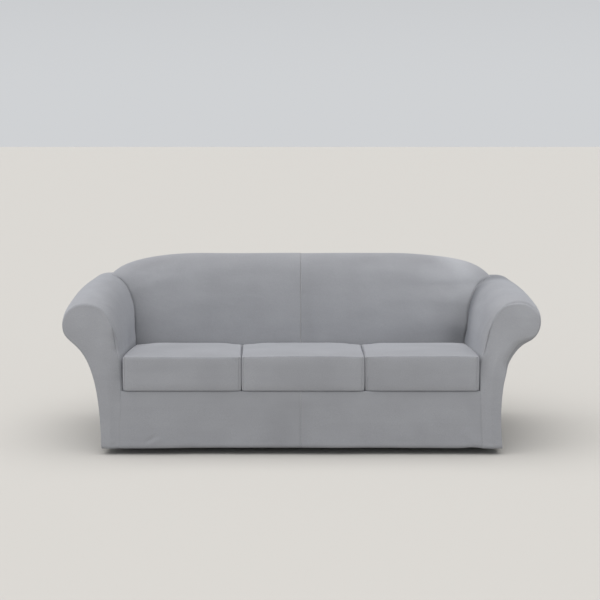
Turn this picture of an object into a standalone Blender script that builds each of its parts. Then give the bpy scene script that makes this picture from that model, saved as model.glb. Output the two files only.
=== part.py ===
"""Fitted stretch slipcover for a three-seat sofa with rolled arms.

Every piece is a thin sheet of cloth, standing as it is sewn and worn: two arm sleeves, two scroll-shaped
arm facings, two back panels that roll over the top, two outer back panels, two skirt panels, the seat deck
and three loose cushion covers, each turned under at its lower edge.

Lengths are in metres. X runs along the seat, -Y is the front and Z is up. The sizes below are heights above
the floor and depths behind the front plane. One empty then carries every piece, so that the origin lies
against the underside of the back's top, in the middle, where the worn cover is held up.
"""

import math
from collections import namedtuple

import bmesh
import bpy
import numpy as np

# Cloth and seams
CLOTH = 0.0025
GAP = 0.0003
JOINT_GAP = 0.0006
SEAM_ALLOWANCE = 0.012

# Overall
DEPTH = 0.900
HEM_HEIGHT = 0.030
BACK_TOP = 0.834

# Arm section, seen from the front on the +X side. Both arms start alike inside the seat.
ARM_INNER_X = 0.811
ARM_INNER_FOOT = 0.222
SWELL_FROM = 0.35
SWELL_FULL = 0.55

# Each arm's roll is a circle, with a curve up to it from the seat. inner_reach and shoulder_reach are how far
# that curve keeps each end's direction. Behind the facing the padding swells the sleeve out over swell_depth,
# adds a belly halfway back, and lifts the arm by rise at the rear.
Roll = namedtuple("Roll", "x z radius shoulder_reach inner_reach swell swell_depth belly rise")
ROLLS = {
    -1: Roll(0.9750, 0.5920, 0.0980, 0.0835, 0.4260, 0.0070, 0.134, 0.0135, 0.0320),
    1: Roll(0.9835, 0.6050, 0.0955, 0.0670, 0.4475, 0.0105, 0.101, 0.0090, 0.0170),
}

# Outer flare of each arm: the angle at which the roll ends, where the foot stands and how it leans, and how
# far the curve keeps each end's direction. The right arm narrows above its foot.
Flare = namedtuple("Flare", "roll_end roll_reach foot_x foot_lean foot_reach")
FLARES = {
    -1: Flare(math.radians(-10), 0.101, 0.904, 0.009, 0.530),
    1: Flare(math.radians(-62), 0.177, 0.915, -0.093, 0.079),
}

# Back profile, seen from the side, and the arch of its top, seen from the front
BACK_FOOT = (0.600, 0.234)
BACK_LEAN = (0.060, 0.300)
BACK_SHOULDER = 0.095
BACK_CREST_Y = 0.800
ARCH_FLAT = 0.480
ARCH_HALF_WIDTH = 0.981
ARCH_DROP = 0.208
ARCH_POWER = 0.30
REAR_SEAM_HEIGHT = 0.725

# Seat and front rail
SEAT_HEIGHT = 0.2955
SEAT_FALL = 0.082
SKIRT_SEAM_FOOT_X = 0.823
HEM_LIFT = 0.004
HEM_RIPPLE = 0.003
CREASE_X = -0.690
CREASE_WIDTH = 0.022
CREASE_HEIGHT = 0.004
TUCK_X = 0.780
TUCK_WIDTH = 0.045
TUCK_LIFT = 0.005

# Cushion covers
CUSHION_HEIGHT = 0.155
CUSHION_FRONT = -0.008
CUSHION_REAR = 0.598
CUSHION_LEAN = 0.19
CUSHION_CROWN = 0.0165
CROWN_SIDE_FALL = 0.35
CROWN_SIDE_POWER = 6
CROWN_FRONT_POWER = 4
CROWN_REAR_FALL = 0.5
REAR_CORNER_DROOP = 0.012
REAR_CORNER_WIDTH = 0.055
CUSHION_BULGE = 0.0012
CUSHION_CORNER = 0.018
FRONT_EDGE = 0.006
SIDE_EDGE = 0.014
EDGE_SOFTENS_BY = 0.15
BOTTOM_EDGE = 0.010
TURN_UNDER = 0.055
# name, left edge, right edge, and how far each edge has shifted behind: the middle cushion widens there
CUSHIONS = (
    ("cushion_left", -0.8005, -0.2680, 0.000, -0.022),
    ("cushion_middle", -0.2650, 0.2865, -0.022, 0.008),
    ("cushion_right", 0.2895, 0.8035, 0.008, 0.000),
)

MOUNT = (0.0, BACK_CREST_Y, BACK_TOP - CLOTH)

COVER_GREY = (0.300, 0.316, 0.335, 1.0)
CUSHION_GREY = (0.325, 0.341, 0.360, 1.0)


def clear_scene():
    for obj in list(bpy.data.objects):
        bpy.data.objects.remove(obj, do_unlink=True)


def bezier(start, first, second, end, share):
    """Points of a cubic Bezier curve at each share of its parameter, 0 to 1."""
    t = np.asarray(share)[:, None]
    return (
        (1 - t) ** 3 * np.array(start)
        + 3 * (1 - t) ** 2 * t * np.array(first)
        + 3 * (1 - t) * t**2 * np.array(second)
        + t**3 * np.array(end)
    )


def smoothstep(value):
    t = np.clip(value, 0, 1)
    return t * t * (3 - 2 * t)


# Arm section: inner side, roll and outer flare


def inner_side(side, count=15):
    """The section from inside the seat up to the crest of the roll."""
    roll = ROLLS[side]
    crest = (roll.x, roll.z + roll.radius)
    return bezier(
        (ARM_INNER_X, ARM_INNER_FOOT),
        (ARM_INNER_X, ARM_INNER_FOOT + roll.inner_reach),
        (roll.x - roll.shoulder_reach, crest[1]),
        crest,
        np.linspace(0, 1, count),
    )


def outer_side(side, roll_count=11, flare_count=11):
    """The section from the crest round the roll, and down the flare to the hem."""
    roll, flare = ROLLS[side], FLARES[side]
    angle = np.linspace(math.pi / 2, flare.roll_end, roll_count)
    arc = np.stack([roll.x + roll.radius * np.cos(angle), roll.z + roll.radius * np.sin(angle)], axis=1)
    onward = np.array((math.sin(flare.roll_end), -math.cos(flare.roll_end)))
    foot = np.array((flare.foot_x, HEM_HEIGHT))
    fall = bezier(
        arc[-1],
        arc[-1] + flare.roll_reach * onward,
        foot + flare.foot_reach * np.array((flare.foot_lean, 1)),
        foot,
        np.linspace(0, 1, flare_count),
    )
    return np.concatenate([arc[1:], fall[1:]])


def whole_section(side):
    return np.concatenate([inner_side(side), outer_side(side)])


def outward(section):
    along = np.gradient(section, axis=0)
    normal = np.stack([-along[:, 1], along[:, 0]], axis=1)
    return normal / np.linalg.norm(normal, axis=1, keepdims=True)


def swell(side, height, y):
    """How far the padding pushes the sleeve out at a height of the section and a depth y.

    The edge seam holds the sleeve in at the front. Behind it the sleeve swells above the seat, most of all
    halfway back.
    """
    roll = ROLLS[side]
    padded = smoothstep((height - SWELL_FROM) / (SWELL_FULL - SWELL_FROM))
    released = 1 - (1 - np.clip(y / roll.swell_depth, 0, 1)) ** 2
    return padded * (roll.swell * released + roll.belly * np.sin(math.pi * y / DEPTH))


def lifted(side, height, y):
    """A height of the section at depth y: the arm climbs towards the back, more the higher up the section."""
    roll = ROLLS[side]
    share = (height - ARM_INNER_FOOT) / (roll.z + roll.radius - ARM_INNER_FOOT)
    return height + roll.rise * y / DEPTH * np.clip(share, 0, None)


def sleeve_line(side, depth, y):
    """(x, z) points of the whole sleeve at depth y, which has one value or one for each point.

    depth is how far below the outer face they lie.
    """
    section = whole_section(side)
    moved = section + (swell(side, section[:, 1], y) - depth)[:, None] * outward(section)
    return np.stack([moved[:, 0], lifted(side, moved[:, 1], y)], axis=1)


def sleeve_x(side, heights, depths):
    """The x of the sleeve's inner side at each height and depth, with the gap a panel's edge keeps to it."""
    found = []
    for height, y in zip(heights, depths):
        line = sleeve_line(side, -JOINT_GAP, y)[: len(inner_side(side))]
        found.append(np.interp(height, line[:, 1], line[:, 0]))
    return np.array(found)


# Back: side profile and arch


def arch(x):
    """Height of the back's top at x: flat in the middle, then a curve down to rounded ends."""
    t = np.clip((np.abs(x) - ARCH_FLAT) / (ARCH_HALF_WIDTH - ARCH_FLAT), 0, 0.9999)
    return BACK_TOP - ARCH_DROP * (1 - (1 - t**2) ** ARCH_POWER)


def back_end_x(side):
    """The x at which the arm's top behind is as high as the straight seam there, where the back ends."""
    line = sleeve_line(side, 0, DEPTH)[: len(inner_side(side))]
    return float(np.interp(REAR_SEAM_HEIGHT, line[:, 1], line[:, 0]))


def back_front_curve():
    """The middle profile from the seat to the crest: (y, z) points and their directions."""
    crest = (BACK_CREST_Y, BACK_TOP)
    lower = (BACK_FOOT[0] + BACK_LEAN[0], BACK_FOOT[1] + BACK_LEAN[1])
    upper = (BACK_CREST_Y - BACK_SHOULDER, BACK_TOP)
    points = bezier(BACK_FOOT, lower, upper, crest, np.linspace(0, 1, 400))
    return points, np.gradient(points, axis=0)


def back_front_y(x, z):
    """Depth of the back's front face at x and height z. Past the crest's height it is the crest's depth."""
    points, _ = back_front_curve()
    scale = (arch(x) - BACK_FOOT[1]) / (BACK_TOP - BACK_FOOT[1])
    return np.interp(BACK_FOOT[1] + (z - BACK_FOOT[1]) / scale, points[:, 1], points[:, 0])


def arm_meets_back(side):
    """Depth at which each point of the sleeve runs into the back's front face."""
    y = np.full(len(whole_section(side)), BACK_CREST_Y)
    for _ in range(8):
        line = sleeve_line(side, 0, y)
        y = back_front_y(line[:, 0], line[:, 1])
    return y


class BackProfile:
    """Rows of the back panel, from its foot over the crest to the rear seam."""

    def __init__(self, side):
        depths = arm_meets_back(side)[: len(inner_side(side))]
        depths = depths[depths < BACK_CREST_Y - 0.03]
        depths = np.concatenate([[BACK_FOOT[0]], depths[1:], np.linspace(depths[-1], BACK_CREST_Y, 4)[1:-1]])
        points, along = back_front_curve()
        front_height = np.interp(depths, points[:, 0], points[:, 1])
        front_along = np.stack([np.interp(depths, points[:, 0], along[:, k]) for k in range(2)], axis=1)
        angle = np.linspace(0, math.pi / 2, 7)
        drop = BACK_TOP - REAR_SEAM_HEIGHT
        reach = DEPTH - BACK_CREST_Y
        rear_along = np.stack([reach * np.cos(angle), -drop * np.sin(angle)], axis=1)
        self.y = np.concatenate([depths, BACK_CREST_Y + reach * np.sin(angle)])
        self.z = np.concatenate([front_height, BACK_TOP - drop * (1 - np.cos(angle))])
        self.along = np.concatenate([front_along, rear_along])
        self.base = np.where(np.arange(len(self.y)) < len(depths), BACK_FOOT[1], REAR_SEAM_HEIGHT)
        self.side = side

    def at(self, x, depth):
        """(y, z) of every row at x, which has a value for each row, depth below the outer face."""
        scale = (arch(x) - self.base) / (BACK_TOP - self.base)
        normal = np.stack([-self.along[:, 1] * scale, self.along[:, 0]])
        normal /= np.linalg.norm(normal, axis=0)
        return self.y - depth * normal[0], self.base + (self.z - self.base) * scale - depth * normal[1]

    def end(self, depth):
        """The x at which each row meets the arm sleeve, found by halving."""
        low = np.full(len(self.y), ARM_INNER_X - 0.05)
        high = np.full(len(self.y), ROLLS[self.side].x)
        for _ in range(22):
            middle = (low + high) / 2
            y, z = self.at(middle, depth)
            clear = middle < sleeve_x(self.side, z, y)
            low = np.where(clear, middle, low)
            high = np.where(clear, high, middle)
        return low


def back_grid(side, depth, columns=13):
    """One back panel at a depth below its outer face: rows up the profile, columns out from the seam."""
    profile = BackProfile(side)
    spread = 1 - (1 - np.linspace(0, 1, columns)) ** 1.7
    ends = profile.end(depth)
    grid = np.empty((len(profile.y), columns, 3))
    for column, share in enumerate(spread):
        x = GAP / 2 + (ends - GAP / 2) * share
        y, z = profile.at(x, depth)
        grid[:, column] = np.stack([x, y, z], axis=1)
    grid[-1, :, 2] += GAP / 2
    return grid


# Front rail and seat


def seat_height(y):
    return SEAT_HEIGHT - SEAT_FALL * y


def skirt_seam_x(z):
    """The upright seam between the skirt and the arm facing, which leans in a little towards the seat."""
    share = (z - HEM_HEIGHT) / (SEAT_HEIGHT - HEM_HEIGHT)
    return SKIRT_SEAM_FOOT_X + (ARM_INNER_X - SKIRT_SEAM_FOOT_X) * share


def skirt_relief(x, z, side):
    """How far the skirt stands out: ripples that die away upwards and at its seams, and one slack crease."""
    low = smoothstep((SEAT_HEIGHT - z) / (SEAT_HEIGHT - HEM_HEIGHT))
    between_seams = np.sin(math.pi * np.clip(np.abs(x) / ARM_INNER_X, 0, 1)) ** 0.5
    ripple = np.sin(7.3 * x + 0.8) + 0.6 * np.sin(16.0 * x - 0.4)
    relief = HEM_RIPPLE * ripple * low * between_seams
    if side < 0:
        slant = CREASE_X + 0.2 * (z - HEM_HEIGHT)
        relief = relief + CREASE_HEIGHT * low * np.exp(-(((x - slant) / CREASE_WIDTH) ** 2))
    return relief


def skirt_grid(side, depth, columns=17, rows=7):
    """One skirt panel, from the middle seam to the arm facing, and from the hem up to the seat."""
    across, up = np.meshgrid(np.linspace(0, 1, columns), np.linspace(0, 1, rows))
    nominal = HEM_HEIGHT + (SEAT_HEIGHT - HEM_HEIGHT) * up
    x = GAP / 2 + (skirt_seam_x(nominal) - GAP) * across
    tuck = TUCK_LIFT * np.exp(-(((side * x - TUCK_X) / TUCK_WIDTH) ** 2))
    hem = HEM_HEIGHT + HEM_LIFT * (1 - across**2) + tuck
    z = hem + (SEAT_HEIGHT - hem) * up
    y = depth - skirt_relief(side * x, nominal, side) * np.sin(math.pi * across) ** 0.3
    return np.stack([side * x, y, z], axis=-1)


# Cushion covers


def rounded_outline(half_width, half_depth, radius, corner=4, straight=5):
    """A rectangle with round corners, centred on zero: (x, y) points, anticlockwise."""
    points = []
    for turn, (sign_x, sign_y) in enumerate(((1, 1), (-1, 1), (-1, -1), (1, -1))):
        angle = math.pi / 2 * (turn + np.linspace(0, 1, corner))
        centre = np.array((sign_x * (half_width - radius), sign_y * (half_depth - radius)))
        points.append(centre + radius * np.stack([np.cos(angle), np.sin(angle)], axis=1))
    runs = []
    for current, following in zip(points, points[1:] + points[:1]):
        share = np.linspace(0, 1, straight + 1)[1:-1, None]
        runs += [current, current[-1] + (following[0] - current[-1]) * share]
    return np.concatenate(runs)


def crown(across, along):
    """Rise of a cushion's top: across is -1 to 1 from side to side, along is 0 in front and 1 behind.

    It climbs at once from the front seam, falls off a little at the sides and keeps half its height behind.
    """
    sides = 1 - CROWN_SIDE_FALL * np.abs(across) ** CROWN_SIDE_POWER
    front = 1 - (1 - np.clip(along, 0, 1)) ** CROWN_FRONT_POWER
    rear = 1 - CROWN_REAR_FALL * np.clip(along, 0, 1) ** 3
    return CUSHION_CROWN * sides * front * rear


def cushion_rings(half_width, half_depth, depth):
    """Rings of a cushion cover from the middle of its top to its turned-under edge: (x, y, height) grid.

    A ring is the outline drawn in by an inset. The top edge is crisp along the front seam and softer at the
    sides, the walls stand out a little halfway up, and the lower edge turns under.
    """
    outline = rounded_outline(half_width, half_depth, CUSHION_CORNER)
    half = np.array((half_width, half_depth))
    soft = smoothstep((outline[:, 1] / half_depth + 1) / 2 / EDGE_SOFTENS_BY)
    edge = FRONT_EDGE + (SIDE_EDGE - FRONT_EDGE) * soft
    top = CUSHION_HEIGHT - depth
    low = BOTTOM_EDGE - depth
    rings = []
    for scale in (0, 0.35, 0.62, 0.8, 0.9, 0.96):
        rings.append((scale, edge, top, 1))
    for angle in np.linspace(math.pi / 2, 0, 4):
        inset = edge - (edge - depth) * math.cos(angle)
        rings.append((1, inset, top - (edge - depth) * (1 - math.sin(angle)), math.sin(angle)))
    rings.append((1, depth - CUSHION_BULGE, CUSHION_HEIGHT / 2, 0))
    for angle in np.linspace(0, -math.pi / 2, 3):
        rings.append((1, BOTTOM_EDGE - low * math.cos(angle), depth + low * (1 + math.sin(angle)), 0))
    rings.append((1, TURN_UNDER, depth, 0))
    grid = []
    for scale, inset, height, crowned in rings:
        ring = scale * outline * (1 - np.reshape(inset, (-1, 1)) / half)
        to_corner = np.hypot(half_width - np.abs(ring[:, 0]), half_depth - ring[:, 1])
        droop = REAR_CORNER_DROOP * np.exp(-((to_corner / REAR_CORNER_WIDTH) ** 2))
        rise = crowned * (crown(ring[:, 0] / half_width, (ring[:, 1] / half_depth + 1) / 2) - droop)
        grid.append(np.column_stack([ring, height + rise]))
    return np.array(grid)


def cushion_grid(left, right, left_shift, right_shift, depth):
    """The rings in their place: on the sloping seat, with the rear wall leaning as the back does."""
    half_width, half_depth = (right - left) / 2, (CUSHION_REAR - CUSHION_FRONT) / 2
    rings = cushion_rings(half_width, half_depth, depth)
    share = (rings[..., 1] + half_depth) / (2 * half_depth)
    rightward = (rings[..., 0] / half_width + 1) / 2
    x = (left + right) / 2 + rings[..., 0] + share * (left_shift + (right_shift - left_shift) * rightward)
    y = CUSHION_FRONT + 2 * half_depth * share + CUSHION_LEAN * rings[..., 2] * share
    z = seat_height(y) + GAP + rings[..., 2]
    return np.stack([x, y, z], axis=-1)


# Making the sheets


def fabric(name, color):
    """A soft suede finish: rough, not metallic."""
    material = bpy.data.materials.new(name)
    material.use_nodes = True
    shader = material.node_tree.nodes["Principled BSDF"]
    shader.inputs["Base Color"].default_value = color
    shader.inputs["Roughness"].default_value = 0.9
    shader.inputs["Metallic"].default_value = 0.0
    return material


def add_piece(name, points, faces, carrier, color):
    """A closed mesh from points and faces, with its normals outwards, carried by the empty."""
    mesh = bpy.data.meshes.new(name)
    mesh.from_pydata([tuple(p) for p in points], [], [tuple(f) for f in faces])
    mesh.update()
    obj = bpy.data.objects.new(name, mesh)
    bpy.context.scene.collection.objects.link(obj)
    obj.parent = carrier
    obj.data.materials.append(fabric(name, color))
    close_and_orient(mesh)
    return obj


def close_and_orient(mesh):
    """Merges a pole's doubled points, turns every face outwards and shades it smooth up to 35 degrees."""
    work = bmesh.new()
    work.from_mesh(mesh)
    bmesh.ops.remove_doubles(work, verts=work.verts, dist=1e-6)
    bmesh.ops.recalc_face_normals(work, faces=work.faces)
    work.to_mesh(mesh)
    work.free()
    mesh.shade_smooth()
    mesh.set_sharp_from_angle(angle=math.radians(35))


def add_sheet(name, outer, inner, carrier, color, ring=False):
    """A sheet between two grids of the same size. On a ring the last column joins the first."""
    rows, columns = outer.shape[:2]
    index = np.arange(2 * rows * columns).reshape(2, rows, columns)
    if ring:
        index = np.concatenate([index, index[:, :, :1]], axis=2)
    outside, within = index
    quads = []
    for layer in (outside, within[:, ::-1]):
        quads.append(np.stack([layer[:-1, :-1], layer[:-1, 1:], layer[1:, 1:], layer[1:, :-1]], axis=-1))
    edges = [(outside[-1], within[-1])]
    if not ring:
        edges.append((outside[0], within[0]))
        edges += [(outside[:, end], within[:, end]) for end in (0, -1)]
    for face_edge, back_edge in edges:
        quads.append(np.stack([face_edge[:-1], face_edge[1:], back_edge[1:], back_edge[:-1]], axis=-1))
    faces = np.concatenate([q.reshape(-1, 4) for q in quads])
    points = np.concatenate([outer.reshape(-1, 3), inner.reshape(-1, 3)])
    return add_piece(name, points, faces.tolist(), carrier, color)


def add_flat(name, outline, front, back, carrier, color):
    """A flat panel between two upright planes, from its (x, z) outline."""
    count = len(outline)
    points = [(x, front, z) for x, z in outline] + [(x, back, z) for x, z in outline]
    faces = [list(range(count)), list(range(2 * count - 1, count - 1, -1))]
    for i in range(count):
        j = (i + 1) % count
        faces.append([i, j, count + j, count + i])
    return add_piece(name, points, faces, carrier, color)


def mirrored(grid, side):
    return grid * np.array((side, 1, 1))


# The pieces


def arm_grid(side, depth, front_rows=(0, 0.02, 0.05, 0.12), rear_rows=4):
    """The arm sleeve: the section carried back to the back panel, or to the outer back past its end."""
    rear = DEPTH - CLOTH - GAP
    meets = arm_meets_back(side) + SEAM_ALLOWANCE
    full = sleeve_line(side, 0, DEPTH)
    past_back = smoothstep((full[:, 0] - back_end_x(side) + 0.035) / 0.025)
    on_inner_side = np.arange(len(full)) < len(inner_side(side))
    ends = np.where(on_inner_side, np.minimum(meets + (rear - meets) * past_back, rear), rear)
    depths = [np.full(len(full), max(y, CLOTH + GAP)) for y in front_rows]
    first = front_rows[-1]
    depths += [first + (ends - first) * share for share in np.linspace(0, 1, rear_rows + 1)[1:]]
    grid = []
    for y in depths:
        line = sleeve_line(side, depth, y)
        grid.append(np.stack([line[:, 0], y, line[:, 1]], axis=1))
    return np.array(grid)


def add_arm(side, label, carrier):
    outer = mirrored(arm_grid(side, 0), side)
    inner = mirrored(arm_grid(side, CLOTH), side)
    add_sheet(f"arm_{label}", outer, inner, carrier, COVER_GREY)


def add_arm_front(side, label, carrier):
    above_seat = whole_section(side)[inner_side(side)[:, 1].searchsorted(SEAT_HEIGHT) :]
    seam = [(skirt_seam_x(z) + GAP / 2, z) for z in (HEM_HEIGHT, SEAT_HEIGHT)]
    outline = np.concatenate([seam, above_seat]) * np.array((side, 1))
    add_flat(f"arm_front_{label}", outline, 0, CLOTH, carrier, COVER_GREY)


def add_back(side, label, carrier):
    outer = mirrored(back_grid(side, 0), side)
    inner = mirrored(back_grid(side, CLOTH), side)
    add_sheet(f"back_{label}", outer, inner, carrier, COVER_GREY)


def add_back_outer(side, label, carrier):
    edge = sleeve_line(side, 0, DEPTH)
    end = back_end_x(side)
    clear_of_back = edge[edge[: len(inner_side(side)), 0].searchsorted(end) :]
    seam = REAR_SEAM_HEIGHT - GAP / 2
    outline = np.concatenate([[(GAP / 2, HEM_HEIGHT), (GAP / 2, seam), (end, seam)], clear_of_back])
    add_flat(f"back_outer_{label}", outline * np.array((side, 1)), DEPTH - CLOTH, DEPTH, carrier, COVER_GREY)


def add_skirt(side, label, carrier):
    add_sheet(f"skirt_{label}", skirt_grid(side, 0), skirt_grid(side, CLOTH), carrier, COVER_GREY)


def add_seat_deck(carrier):
    half = ARM_INNER_X - JOINT_GAP
    front = CLOTH + GAP
    rear = float(back_front_y(0.0, seat_height(BACK_FOOT[0]) - CLOTH)) - JOINT_GAP
    across, along = np.meshgrid(np.linspace(-half, half, 5), np.linspace(front, rear, 4))
    outer = np.stack([across, along, seat_height(along)], axis=-1)
    add_sheet("seat_deck", outer, outer - np.array((0, 0, CLOTH)), carrier, COVER_GREY)


def add_cushion(name, edges, carrier):
    outer = cushion_grid(*edges, 0)
    inner = cushion_grid(*edges, CLOTH)
    add_sheet(name, outer, inner, carrier, CUSHION_GREY, ring=True)


def main():
    clear_scene()
    carrier = bpy.data.objects.new("worn_cover", None)
    bpy.context.scene.collection.objects.link(carrier)
    carrier.location = [-value for value in MOUNT]
    for side, label in ((-1, "left"), (1, "right")):
        add_arm(side, label, carrier)
        add_arm_front(side, label, carrier)
        add_back(side, label, carrier)
        add_back_outer(side, label, carrier)
        add_skirt(side, label, carrier)
    add_seat_deck(carrier)
    for name, *edges in CUSHIONS:
        add_cushion(name, edges, carrier)


main()
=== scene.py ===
from collections import namedtuple
from math import acos, atan, atan2, cos, pi, radians, sin, sqrt

import bpy
import numpy as np
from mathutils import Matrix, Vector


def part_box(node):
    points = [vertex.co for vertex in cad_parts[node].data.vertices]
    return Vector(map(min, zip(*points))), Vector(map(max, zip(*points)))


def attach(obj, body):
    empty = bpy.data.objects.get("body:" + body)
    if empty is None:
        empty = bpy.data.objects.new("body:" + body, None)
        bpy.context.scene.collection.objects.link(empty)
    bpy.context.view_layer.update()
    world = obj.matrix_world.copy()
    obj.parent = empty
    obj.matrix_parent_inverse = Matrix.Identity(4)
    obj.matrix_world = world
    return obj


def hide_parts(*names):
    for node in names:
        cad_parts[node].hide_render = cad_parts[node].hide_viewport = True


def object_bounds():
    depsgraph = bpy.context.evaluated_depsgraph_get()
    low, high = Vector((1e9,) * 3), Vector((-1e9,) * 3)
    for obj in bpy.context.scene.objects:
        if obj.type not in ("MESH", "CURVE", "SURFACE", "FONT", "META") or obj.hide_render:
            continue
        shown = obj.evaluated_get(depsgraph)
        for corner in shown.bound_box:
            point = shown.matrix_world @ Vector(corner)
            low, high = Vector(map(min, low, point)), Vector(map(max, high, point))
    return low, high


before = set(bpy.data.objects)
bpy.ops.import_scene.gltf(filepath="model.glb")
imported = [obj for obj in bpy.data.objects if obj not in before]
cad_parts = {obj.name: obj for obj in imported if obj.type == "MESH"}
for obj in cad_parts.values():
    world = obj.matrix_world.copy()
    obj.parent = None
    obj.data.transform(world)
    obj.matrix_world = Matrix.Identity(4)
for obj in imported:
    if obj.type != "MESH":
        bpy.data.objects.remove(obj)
cad_low, cad_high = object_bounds()


# Arm sleeves
# Each sleeve is one panel of brushed stretch suede. It is pulled from inside the seat up the inner arm,
# over the roll and down the outer side to the hem. Its front edge is sewn round the facing, and its inner
# rear edge disappears into the fold beside the back.

# Heights are above the floor and depths are behind the front plane, in metres.
HEM_HEIGHT = 0.03
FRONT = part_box("arm_front_left")[0].y
FLOOR = cad_low.z - HEM_HEIGHT
DEPTH = cad_high.y - FRONT
BACK_TOP = cad_high.z - FLOOR
SIDES = ((-1, "left"), (1, "right"))

# A sheet's thickness, and half the crack between two sheets at a seam
CLOTH = 0.0022
SEAM_GAP = 0.0002

# The arm's inner side starts upright at this x and height, and its padding swells above the seat
ARM_INNER_X = 0.811
ARM_INNER_FOOT = 0.222
SWELL_HEIGHTS = (0.35, 0.55)
# The roll's centre and radius, how far the section runs on level into it and up out of the seat, how far
# the padding swells it behind the seam, how soon, how much more halfway back, and how far the arm climbs
Roll = namedtuple("Roll", "x z radius shoulder_reach inner_reach swell swell_depth belly rise")
ROLLS = {
    -1: Roll(0.975, 0.592, 0.098, 0.0835, 0.426, 0.007, 0.134, 0.0135, 0.032),
    1: Roll(0.9835, 0.605, 0.0955, 0.067, 0.4475, 0.0105, 0.101, 0.009, 0.017),
}
# The angle at which the roll ends in the flare, and how the flare leaves it and reaches the hem
Flare = namedtuple("Flare", "roll_end roll_reach foot_x foot_lean foot_reach")
FLARES = {
    -1: Flare(radians(-10), 0.101, 0.904, 0.009, 0.53),
    1: Flare(radians(-62), 0.177, 0.915, -0.093, 0.079),
}

# The front face of the back, which the sleeves run into: its foot and first lean as (depth, height), its
# crest, the arch along its top, and the straight seam behind
BACK_FOOT = (0.6, 0.234)
BACK_LEAN = (0.06, 0.3)
BACK_SHOULDER = 0.095
BACK_CREST_Y = 0.8
ARCH_FLAT = 0.48
ARCH_HALF_WIDTH = 0.981
ARCH_DROP = 0.208
ARCH_POWER = 0.3
REAR_SEAM_HEIGHT = 0.725
# Heights, and at each: how far the back turns away beside its arm, how far its outer part leans away, and
# how far the sleeve is hollowed beside the fold
FOLD_HEIGHTS = (0.3, 0.4, 0.5, 0.6, 0.7, 0.8)
BACK_TURNS = {-1: (0.011, 0.011, 0.009, 0.004, 0.001, 0.0), 1: (0.03, 0.03, 0.026, 0.016, 0.011, 0.008)}
BACK_LEANS = {-1: (0.0, 0.0, 0.0, 0.002, 0.005, 0.006), 1: (0.004, 0.0, -0.01, -0.003, 0.016, 0.03)}
FOLD_HOLLOWS = {-1: (0.004, 0.008, 0.01, 0.002, 0.0, 0.0), 1: (0.0, 0.007, 0.015, 0.006, 0.0, 0.0)}
HOLLOW_WIDTH = 0.075
# An arm's front leans back by this slope from the seat up, which it eases into, and the lean fades behind
FRONT_LEAN = 0.055
FRONT_LEAN_FROM = 0.36
FRONT_LEAN_EASE = 0.05
FRONT_LEAN_FADE = 0.2
# Beside the cushion an arm's inner front edge is drawn back, and the right one is also pulled inwards
DRAWN_BACK = {-1: 0.009, 1: 0.005}
DRAWN_HEIGHTS = ((0.3, 0.36), (0.5, 0.6))
PULLED_IN = {-1: 0.0, 1: 0.0075}
PULLED_HEIGHT = 0.4
PULLED_SPREAD = 0.07
# The arms' tops have sunk a little, and so has the back's right shoulder, but only far back and high up
SUNK_ARM = {-1: 0.006, 1: 0.01}
SUNK_CREST_X = 0.975
SUNK_CREST_WIDTH = 0.07
SUNK_SHOULDER = 0.006
SUNK_SHOULDER_FROM = (0.45, 0.7)
SUNK_SHOULDER_TO = (1.0, 1.1)
SUNK_PAST_SHOULDER = 0.4
SUNK_DEPTHS = (0.4, 0.8)
SUNK_HEIGHTS = (0.58, 0.7)

# The corner between a sleeve and its facing is crisp, but soft on the inner side above the cushion and, on
# the right, round the flare and on the roll
CRISP_EDGE = 0.002
SOFT_EDGE = {-1: 0.03, 1: 0.018}
SOFT_HEIGHTS = ((0.435, 0.485), (0.52, 0.6))
FLARE_EDGE = {-1: 0.0, 1: 0.045}
FLARE_HEIGHTS = ((0.36, 0.42), (0.49, 0.55))
FLARE_X = (0.86, 0.9)
ROLL_EDGE = {-1: 0.001, 1: 0.014}
ROLL_HEIGHTS = (0.62, 0.68)
ROLL_X = (0.9, 0.96)
# The seam runs in the middle of that corner and fades out down the inner side
SEAM_SHARE = 1 - sqrt(0.5)
SEAM_DIP = 0.0034
SEAM_WIDTH = 0.0034
SEAM_FADES = {-1: (0.58, 0.65), 1: (0.55, 0.63)}

# Beside the back the sleeve rises in a low ridge, dips, and runs on out of sight
FOLD_DIP = 0.0022
FOLD_WIDTH = 0.0045
FOLD_RIDGE = 0.0012
FOLD_RIDGE_AT = 0.024
FOLD_RIDGE_WIDTH = 0.011
FOLD_ALLOWANCE = 0.02
BACK_END_BLEND = (0.035, 0.01)
# Beside the end cushions the inner side bulges into the gap, less further back
GAP_BULGE = {-1: 0.0085, 1: 0.0042}
GAP_HEIGHTS = ((0.25, 0.29), (0.42, 0.47))
GAP_RISE = 0.012
GAP_EASE = (0.03, 0.08)
GAP_EASED_BY = 0.4
# The hem curls in, and above it the outer side hangs in slack ripples
HEM_CURL = 0.006
HEM_CURL_LENGTH = 0.014
SLACK_HEIGHTS = (0.45, 0.05)
SLACK_RIPPLE = 0.003
SLACK_FINE_RIPPLE = 0.0016
SECTION_POINTS = 190
NEAR_ROWS = 18
FAR_ROWS = 64
WELD_WITHIN = 0.00005

# Along the section, depth, to along the section, depth, width, height
SLEEVE_CREASES = {
    -1: (
        (0.47, 0.62, 0.52, 0.3, 0.02, -0.002), (0.42, 0.16, 0.5, 0.05, 0.014, 0.0012),
        (0.6, 0.7, 0.64, 0.35, 0.022, 0.0014),
    ),
    1: (
        (0.36, 0.62, 0.44, 0.3, 0.02, -0.002), (0.3, 0.1, 0.42, 0.03, 0.014, 0.0014),
        (0.58, 0.66, 0.62, 0.42, 0.022, -0.0015),
    ),
}

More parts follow.
